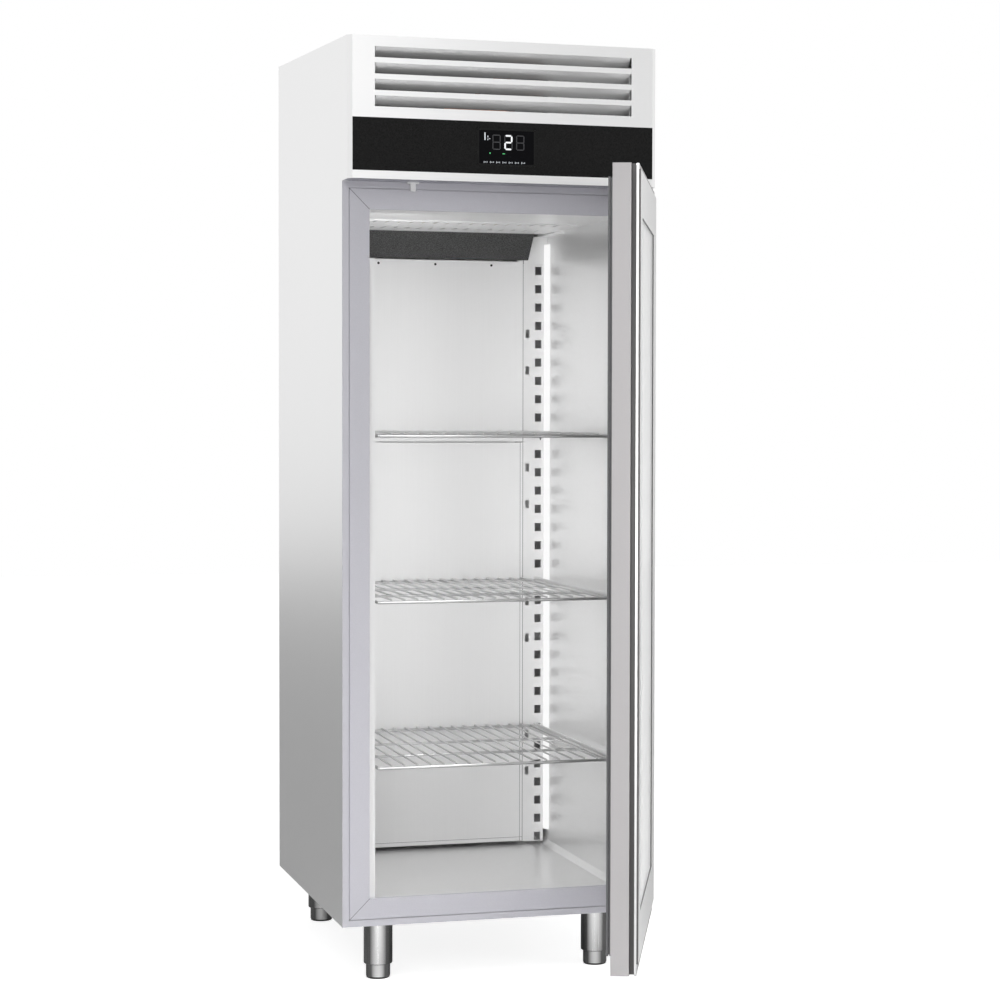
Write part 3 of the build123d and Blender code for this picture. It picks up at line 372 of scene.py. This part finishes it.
M = {
    "outside": steel("outside_steel", 0.86, 0.34, GRAIN_Z, amount=0.012,
                     parts=[(front_flange, LILAC, 0.0)]),
    # Fascia: the underside return is lilac, and the near-black line behind its front edge is
    # painted shade.
    "fascia": steel("fascia_steel", 0.93, 0.36, GRAIN_X, amount=0.012,
                    parts=[(head_underside, LILAC, 0.0), (painted_shade_head_gap, (0.03, 0.03, 0.03), 0.0)]),
    "blade": steel("blade_steel", 0.93, 0.40, GRAIN_X, metallic=0.85, amount=0.02),
    "inside": steel("inside_steel", 0.84, 0.42, GRAIN_YZ, metallic=0.35, amount=0.015),
    "inside_wall": steel("inside_wall_steel", 0.84, 0.31, MATT, metallic=0.55, amount=0.02,
                         uneven=0.006),
    "wire": steel("wire_steel", 0.62, 0.32, WIRE, uneven=0.02),
    "zinc": steel("zinc_sheet", 0.70, 0.42, SPANGLE, amount=0.04),
    "frame": plain("frame_plastic", LILAC, 0.5, specular=0.3, parts=[(mitres, SEAM, None)]),
    "edge": steel("edge_sheet", 0.70, 0.42, COARSE, amount=0.08,
                  parts=[(strip_front, LILAC, 0.0)]),
    # Duct panels: the grey lines along their folds are painted shade.
    "duct": steel("duct_steel", 0.84, 0.40, GRAIN_YZ, metallic=0.4, amount=0.015,
                  parts=[(duct_fold_shade, (0.3, 0.3, 0.3), None)]),
    "foam": plain("foam", (0.85, 0.78, 0.58), 0.9),
    "band": plain("black_band", (0.010, 0.010, 0.010), 0.5, scale=600, amount=0.7, bump=0.12,
                  specular=0.1),
    "black": plain("black_plastic", BLACK, 0.6),
    "display": plain("display_black", (0.003, 0.003, 0.004), 0.18, amount=0.2, bump=0,
                     specular=0.06),
    "bezel": plain("bezel_black", (0.012, 0.012, 0.012), 0.4, specular=0.1),
    "white": plain("white_plastic", (0.92, 0.92, 0.92), 0.45),
    # Cover plate: the mid grey along its folded upper edge is a painted highlight.
    "plate": plain("charcoal_plate", (0.06, 0.06, 0.06), 0.7, scale=500, amount=0.7, bump=0.2,
                   specular=0.3, parts=[(plate_edge_highlight, (0.5, 0.5, 0.5), None)]),
    "lamp": glow("lamp", (1.0, 1.0, 1.0), 0.93),
    # Door profile: dark inside the finger recess is painted shade.
    "door": plain("door_profile", (0.39, 0.378, 0.382), 0.5, amount=0.02, bump=0.01, specular=0.3,
                  parts=[(finger_recess_shade, SHADE_DARK, None)]),
    # Door face: the dark strip along its free edge is painted shade.
    "door_face": steel("door_face_steel", 0.72, 0.42, GRAIN_Z, metallic=0.1, amount=0.015,
                       parts=[(face_edge_shade, SHADE_DARK, 0.0), (pane_edge, (0.1, 0.1, 0.1), 0.0)]),
    # Grip strip: dark inside the finger recess is painted shade.
    "strip": steel("grip_strip", 0.62, 0.33, GRAIN_Z, amount=0.015,
                   parts=[(finger_recess_shade, SHADE_DARK, 0.0)]),
    "gasket": plain("gasket_rubber", (0.12, 0.12, 0.125), 0.6),
    # Legs and feet: their sides at a grazing angle carry painted shade, standing in for dark
    # reflections.
    "leg": steel("leg_steel", 0.92, 0.25, GRAIN_LEG, amount=0.02, rim_shade=0.16),
    "foot": steel("foot_steel", 0.95, 0.22, GRAIN_LEG, metallic=0.55, amount=0.02, rim_shade=0.16),
    "hinge": steel("hinge_steel", 0.55, 0.35, COARSE),
    "copper": plain("copper", (0.75, 0.35, 0.2), 0.35, metallic=1.0),
    "fins": steel("fin_aluminium", 0.75, 0.4, GRAIN_FINS),
    "shell": plain("compressor_black", BLACK, 0.4),
    "screw": plain("screw_black", BLACK, 0.4),
    "pad": plain("foot_pad_black", BLACK, 0.6),
    "lit": glow("digit_lit", (0.95, 0.97, 1.0), 1.0),
    "unlit": plain("digit_unlit", (0.07, 0.07, 0.075), 0.4, specular=0.1),
    "green": glow("led_green", (0.1, 0.8, 0.25), 0.7),
    "icon": glow("icon_white", (0.8, 0.85, 0.9), 0.9),
    "glass": glass(),
}

CAD_MATERIAL = {
    "side_panel_left": "outside", "side_panel_right": "outside", "back_panel": "zinc",
    "base_panel": "edge", "machine_deck": "edge", "top_cover": "zinc", "rear_grille": "zinc",
    "insulation": "foam", "inner_liner": "inside_wall",
    "frame_strip_left": "frame", "frame_strip_right": "frame", "frame_strip_top": "frame",
    "frame_strip_bottom": "frame", "header_fascia": "fascia", "louvre_blades": "blade",
    "control_band": "band", "display_module": "bezel", "display_glass": "display",
    "door_sensor": "white", "hinge_upper": "hinge", "hinge_lower": "hinge",
    "rack_uprights_rear": "inside", "rack_uprights_front": "inside", "shelf_runners": "inside",
    "duct_panel_lower": "duct", "duct_panel_upper": "duct", "duct_screws": "screw",
    "ceiling_grille": "inside", "fan_cover_plate": "plate", "led_strips": "lamp",
    "shelf_top": "wire", "shelf_middle": "wire", "shelf_bottom": "wire",
    "legs": "leg", "foot_front_left": "foot", "foot_front_right": "foot",
    "foot_rear_left": "foot", "foot_rear_right": "foot",
    "evaporator_case": "white", "evaporator_coil": "fins", "evaporator_fan_frame": "zinc",
    "evaporator_fan_rotor": "black", "condenser_coil": "fins", "condenser_fan_frame": "zinc",
    "condenser_fan_rotor": "black", "compressor": "shell", "refrigerant_pipes": "copper",
    "controller_box": "black", "cable_gland": "black",
    "door_stile_handle": "door", "door_stile_hinge": "door", "door_handle_strip": "strip",
    "door_bushes": "black", "door_rail_top": "door", "door_rail_bottom": "door",
    "door_face_frame": "door_face", "glass_outer": "glass", "glass_inner": "glass",
    "glass_spacer": "zinc", "door_gasket": "gasket",
}
for name, obj in N.items():
    obj.data.materials.clear()
    obj.data.materials.append(M[CAD_MATERIAL[name]])


# ---------------------------------------------------------------- mesh helpers

def add_object(name, data):
    obj = bpy.data.objects.new(name, data)
    bpy.context.scene.collection.objects.link(obj)
    return obj


def mesh(name, verts, faces, body, material, slot=None, sharp=None):
    """A mesh piece in the row frame that rides on a body.

    With sharp it is smooth but for the edges over that angle, in degrees."""
    data = bpy.data.meshes.new(name)
    data.from_pydata([tuple(v) for v in verts], [], faces)
    data.update()
    data.materials.append(M[material])
    if sharp is not None:
        data.polygons.foreach_set("use_smooth", [True] * len(data.polygons))
        data.set_sharp_from_angle(angle=math.radians(sharp))
    obj = add_object(name, data)
    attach(obj, body)
    return obj


def circle(n):
    """Cosine and sine of n even steps round a circle."""
    return [(math.cos(2 * math.pi * k / n), math.sin(2 * math.pi * k / n)) for k in range(n)]


def rod_axes(direction):
    """Three square axes, the last one along the direction."""
    w = Vector(direction).normalized()
    if abs(w.z) > 0.9:
        u = w.orthogonal().normalized()
    else:
        u = Vector(Z).cross(w).normalized()
    return u, w.cross(u), w


def add_rod(verts, faces, a, b, r, n=14):
    """Round bar from a to b with bevelled ends."""
    a, b = Vector(a), Vector(b)
    u, v, w = rod_axes(b - a)
    end_r, bevel = r * 0.72, r * 0.3
    start = len(verts)
    for end, side in ((a, 1), (b, -1)):
        for ring_r, depth in ((end_r, 0.0), (r, bevel * side)):
            verts += [end + w * depth + (u * c + v * s) * ring_r for c, s in circle(n)]
    rings = [start, start + n, start + 3 * n, start + 2 * n]
    for p, q in zip(rings, rings[1:]):
        for k in range(n):
            j = (k + 1) % n
            faces.append((p + k, p + j, q + j, q + k))
    faces.append(tuple(rings[0] + k for k in reversed(range(n))))
    faces.append(tuple(rings[3] + k for k in range(n)))


def lathe(profile, x, y, n=72):
    """Closed surface of revolution about an upright axis; the profile runs from axis to axis."""
    verts, faces, rings = [], [], []
    for r, z in profile:
        points = circle(n) if r else [(0.0, 0.0)]
        rings.append(range(len(verts), len(verts) + len(points)))
        verts += [(x + r * c, y + r * s, z) for c, s in points]
    for a, b in zip(rings, rings[1:]):
        for k in range(n):
            j = (k + 1) % n
            if len(a) == 1:
                faces.append((a[0], b[j], b[k]))
            elif len(b) == 1:
                faces.append((a[k], a[j], b[0]))
            else:
                faces.append((a[k], a[j], b[j], b[k]))
    return verts, faces


# ---------------------------------------------------------------- shelves

def shelf(node):
    """Round wires in the same places as the CAD shelf."""
    rail_r, bar_r, wire_r = 0.0035, 0.003, 0.002
    bars = 0.30, 0.61                       # places of the two cross bars, as shares of the depth
    wires, side_gap, end_gap = 17, 0.028, 0.0008
    low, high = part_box(node)
    x, y0, y1, z = high.x - rail_r, low.y, high.y, low.z + rail_r
    verts, faces = [], []
    for s in (-1, 1):
        add_rod(verts, faces, (s * x, y0, z), (s * x, y1, z), rail_r)
    for y, r in ((y0 + rail_r, rail_r), (y0 + bars[0] * (y1 - y0), bar_r),
                 (y0 + bars[1] * (y1 - y0), bar_r), (y1 - rail_r, rail_r)):
        add_rod(verts, faces, (-x, y, z), (x, y, z), r)
    top = z + rail_r + wire_r
    pitch = 2 * (x - side_gap) / (wires - 1)
    for k in range(wires):
        across = (k - wires // 2) * pitch
        add_rod(verts, faces, (across, y0 + end_gap, top), (across, y1 - end_gap, top), wire_r, 10)
    obj = mesh(node + "_wires", verts, faces, node, "wire", "wire_steel", sharp=50)
    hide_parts(node)


for node in ("shelf_top", "shelf_middle", "shelf_bottom"):
    shelf(node)


# ---------------------------------------------------------------- legs and feet

def leg_and_foot(name, x, y):
    """Leg tube with its cap, the foot's barrel that slides in it, and the black pad below."""
    bevel = 0.0012
    leg_r, bore, cap = 0.0315, 0.0269, 0.003
    bottom, top = 0.032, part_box("legs")[1].z
    foot_r, foot_top, foot_edge, pad_top, pad_in = 0.0265, 0.075, 0.0045, 0.0032, 0.003
    profile = [(0, top - cap), (bore, top - cap), (bore, bottom), (leg_r - bevel, bottom),
               (leg_r, bottom + bevel), (leg_r, top), (0, top)]
    leg = mesh("leg_" + name, *lathe(profile, x, y), "cabinet", "leg", "leg_steel", sharp=30)
    profile = [(0, pad_top), (foot_r - bevel, pad_top), (foot_r, foot_edge),
               (foot_r, foot_top), (0, foot_top)]
    foot = mesh("foot_barrel_" + name, *lathe(profile, x, y), "foot_" + name, "foot", "leg_steel",
                sharp=30)
    profile = [(0, 0.0), (foot_r - pad_in, 0.0), (foot_r - bevel, bevel),
               (foot_r - bevel, pad_top), (0, pad_top)]
    mesh("foot_pad_" + name, *lathe(profile, x, y), "foot_" + name, "pad", "black_plastic",
         sharp=30)
    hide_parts("foot_" + name)
    return leg


for name in ("front_left", "front_right", "rear_left", "rear_right"):
    low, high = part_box("foot_" + name)
    leg = leg_and_foot(name, (low.x + high.x) / 2, (low.y + high.y) / 2)
    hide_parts("legs")


# ---------------------------------------------------------------- display

# Seven-bar digits: a top, b and c right, d bottom, e and f left, g middle
BARS = "abcdefg"
LIT_BARS = ("", "abged", "")
LIT_WIDTH, UNLIT_WIDTH = 0.0036, 0.0022
DIGIT_W, DIGIT_H = 0.0182, 0.0322
DIGIT_X, DIGIT_Z, DIGIT_PITCH = 0.3118, 1.7936, 0.0262

# Marks: x from the cabinet's left side, z, width, height
SIDE_ICONS = ((0.2942, 1.8135, 0.0024, 0.016), (0.3010, 1.8135, 0.0016, 0.003),
              (0.3010, 1.8190, 0.0016, 0.004), (0.3040, 1.8160, 0.0030, 0.0012))
GREEN_LEDS = ((0.3052, 1.7846, 0.0028, 0.0028), (0.3340, 1.7846, 0.0056, 0.0018))
KEYS, KEY_X, KEY_Z, KEY_PITCH = 7, 0.293, 1.7648, 0.0138
KEY_MARKS = ((0.0, 0.0, 0.0010, 0.0042), (0.0022, 0.0016, 0.0030, 0.0010),
             (0.0068, 0.0006, 0.0010, 0.0032))


def bar_outline(bar, w, h, t):
    """Corner points of one bar of a digit, in the digit's own box; t is the bar's width."""
    gap_share = 0.12
    gap, half, middle = t * gap_share, t / 2, h / 2
    level = {"a": h - half, "g": middle, "d": half}
    if bar in level:
        z = level[bar]
        return [(half + gap, z), (t + gap, z + half), (w - t - gap, z + half),
                (w - half - gap, z), (w - t - gap, z - half), (t + gap, z - half)]
    x = half if bar in "fe" else w - half
    z0, z1 = (middle, h - half) if bar in "fb" else (half, middle)
    return [(x, z0 + gap), (x - half, z0 + half + gap), (x - half, z1 - half - gap),
            (x, z1 - gap), (x + half, z1 - half - gap), (x + half, z0 + half + gap)]


def add_mark(verts, faces, outline, x, z):
    """Thin plate in front of the display's glass: an outline of (x, z) points, shifted."""
    clear, thick = 0.00006, 0.00012
    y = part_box("display_glass")[0].y - clear
    n, start = len(outline), len(verts)
    for depth in (0.0, thick):
        verts += [(px + x, y + depth, pz + z) for px, pz in outline]
    faces.append(tuple(start + k for k in range(n)))
    faces.append(tuple(start + n + k for k in reversed(range(n))))
    for k in range(n):
        j = (k + 1) % n
        faces.append((start + k, start + n + k, start + n + j, start + j))


def digits(name, material, width, lit):
    """The bars of all three digits that are lit, or the others."""
    verts, faces = [], []
    for k, on in enumerate(LIT_BARS):
        for bar in (on if lit else [b for b in BARS if b not in on]):
            outline = bar_outline(bar, DIGIT_W, DIGIT_H, width)
            add_mark(verts, faces, outline, LEFT + DIGIT_X + DIGIT_PITCH * k, DIGIT_Z)
    mesh(name, verts, faces, "cabinet", material)


def marks(name, material, boxes):
    verts, faces = [], []
    for x, z, w, h in boxes:
        outline = [(x, z), (x + w, z), (x + w, z + h), (x, z + h)]
        add_mark(verts, faces, outline, LEFT, 0)
    mesh(name, verts, faces, "cabinet", material)


digits("display_digits_lit", "lit", LIT_WIDTH, True)
digits("display_digits_unlit", "unlit", UNLIT_WIDTH, False)
marks("display_icons_side", "icon", SIDE_ICONS)
marks("display_leds_green", "green", GREEN_LEDS)
marks("display_keys", "icon", [(KEY_X + KEY_PITCH * k + x, KEY_Z + z, w, h)
                               for k in range(KEYS) for x, z, w, h in KEY_MARKS])


# ---------------------------------------------------------------- camera, surroundings and lamps

def camera():
    """The photo's camera, from a fit to its edges, with the picture shifted sideways."""
    place = Vector((LEFT - 1.05969, FRONT - 5.39299, 1.23123))
    yaw, pitch, roll = math.radians(17.75), math.radians(-1.93), math.radians(0.2)
    forward = Vector((math.sin(yaw) * math.cos(pitch), math.cos(yaw) * math.cos(pitch),
                      math.sin(pitch)))
    right = Vector((math.cos(yaw), -math.sin(yaw), 0))
    up = right.cross(forward)
    x_axis = math.cos(roll) * right + math.sin(roll) * up
    y_axis = -math.sin(roll) * right + math.cos(roll) * up
    turn = Matrix((x_axis, y_axis, -forward)).transposed()
    data = bpy.data.cameras.new("camera")
    data.lens = 92.22
    data.sensor_width = 36.0
    data.shift_x = -0.14
    data.clip_start, data.clip_end = 0.05, 100.0
    obj = add_object("camera", data)
    obj.matrix_world = Matrix.Translation(place) @ turn.to_4x4()
    bpy.context.scene.camera = obj


def studio_level(tree, path):
    """Level of the white surroundings: in reflections they are darker in front on the right."""
    darkest, falls = 0.22, (("X", (0.16, 0.46)), ("Y", (0.1, -0.5)))
    coord = add_node(tree, "TexCoord").outputs["Generated"]
    parts = add_node(tree, "SeparateXYZ", {0: coord})
    dark = path.outputs["Is Glossy Ray"]
    for axis, source in falls:
        ramp = map_range(tree, parts.outputs[axis], (0.0, 1.0), source,
                         interpolation_type="SMOOTHSTEP")
        dark = calculate(tree, "MULTIPLY", dark, ramp)
    return map_range(tree, dark, (1.0, darkest))


def surroundings():
    """White for the camera, in reflections and through glass; a lower level lights the object."""
    ambient = 0.42
    world = bpy.data.worlds.new("studio")
    bpy.context.scene.world = world
    world.use_nodes = True
    tree = world.node_tree
    tree.nodes.clear()
    path = add_node(tree, "LightPath")
    seen = add_node(tree, "Background", {"Color": WHITE, "Strength": studio_level(tree, path)})
    lit = add_node(tree, "Background", {"Color": WHITE, "Strength": ambient})
    direct = path.outputs["Is Camera Ray"]
    for ray in ("Is Glossy Ray", "Is Transmission Ray"):
        direct = calculate(tree, "MAXIMUM", direct, path.outputs[ray])
    surface = mix_shader(tree, direct, lit.outputs[0], seen.outputs[0])
    add_node(tree, "OutputWorld", {"Surface": surface})


def floor():
    """Grey floor that looks white to the camera alone and keeps a faint shadow of the object."""
    s, grey, added = 14.0, 0.6, 0.8
    data = bpy.data.meshes.new("floor")
    data.from_pydata([(-s, -s, 0), (s, -s, 0), (s, s, 0), (-s, s, 0)], [], [(0, 1, 2, 3)])
    obj = add_object("floor", data)
    m = bpy.data.materials.new("floor")
    m.use_nodes = True
    tree = m.node_tree
    shader = tree.nodes["Principled BSDF"]
    shader.inputs["Base Color"].default_value = (grey, grey, grey, 1.0)
    shader.inputs["Roughness"].default_value = 0.8
    own = shader.outputs[0]
    path = add_node(tree, "LightPath")
    white = add_node(tree, "Emission", {"Color": WHITE, "Strength": added})
    both = add_node(tree, "AddShader", {0: own, 1: white.outputs[0]})
    surface = mix_shader(tree, path.outputs["Is Camera Ray"], own, both.outputs[0])
    tree.links.new(surface, tree.nodes["Material Output"].inputs["Surface"])
    data.materials.append(m)


def lamp(name, place, target, size, watts):
    """Rectangular lamp that the camera doesn't see."""
    light = bpy.data.lights.new(name, "AREA")
    light.shape = "RECTANGLE"
    light.size, light.size_y = size
    light.energy = watts
    obj = add_object(name, light)
    aim = (Vector(target) - Vector(place)).to_track_quat("-Z", "Y")
    obj.matrix_world = Matrix.Translation(Vector(place)) @ aim.to_matrix().to_4x4()
    obj.visible_camera = False
    return obj


def lamps():
    """Five lamps round the object, and one inside that stands for the lamp strips' light."""
    lamp("key", (-2.6, -4.2, 3.4), (0, 0, 1.2), (2.5, 2.5), 52)
    lamp("front", (-1.7, -5.4, 0.7), (0, 0.2, 0.7), (0.9, 1.6), 32)
    lamp("right", (3.4, -2.8, 1.2), (0.2, -0.2, 0.8), (2.0, 2.6), 54)
    top = lamp("top", (0.0, -1.6, 2.9), (0.05, -1.05, 0), (1.0, 1.0), 12)
    top.data.spread = math.radians(56)
    lamp("head", (0.0, -4.4, 2.6), (-0.1, HEAD, 1.85), (1.0, 1.0), 3.4)
    x, z = -0.19, 1.03
    inside = lamp("inside", (x, FRONT + 0.10, z), (x, FRONT + 1.0, z), (0.18, 1.12), 3.1)
    inside.visible_glossy = False


camera()
surroundings()
floor()
lamps()
scene = bpy.context.scene
scene.view_settings.view_transform = "Standard"
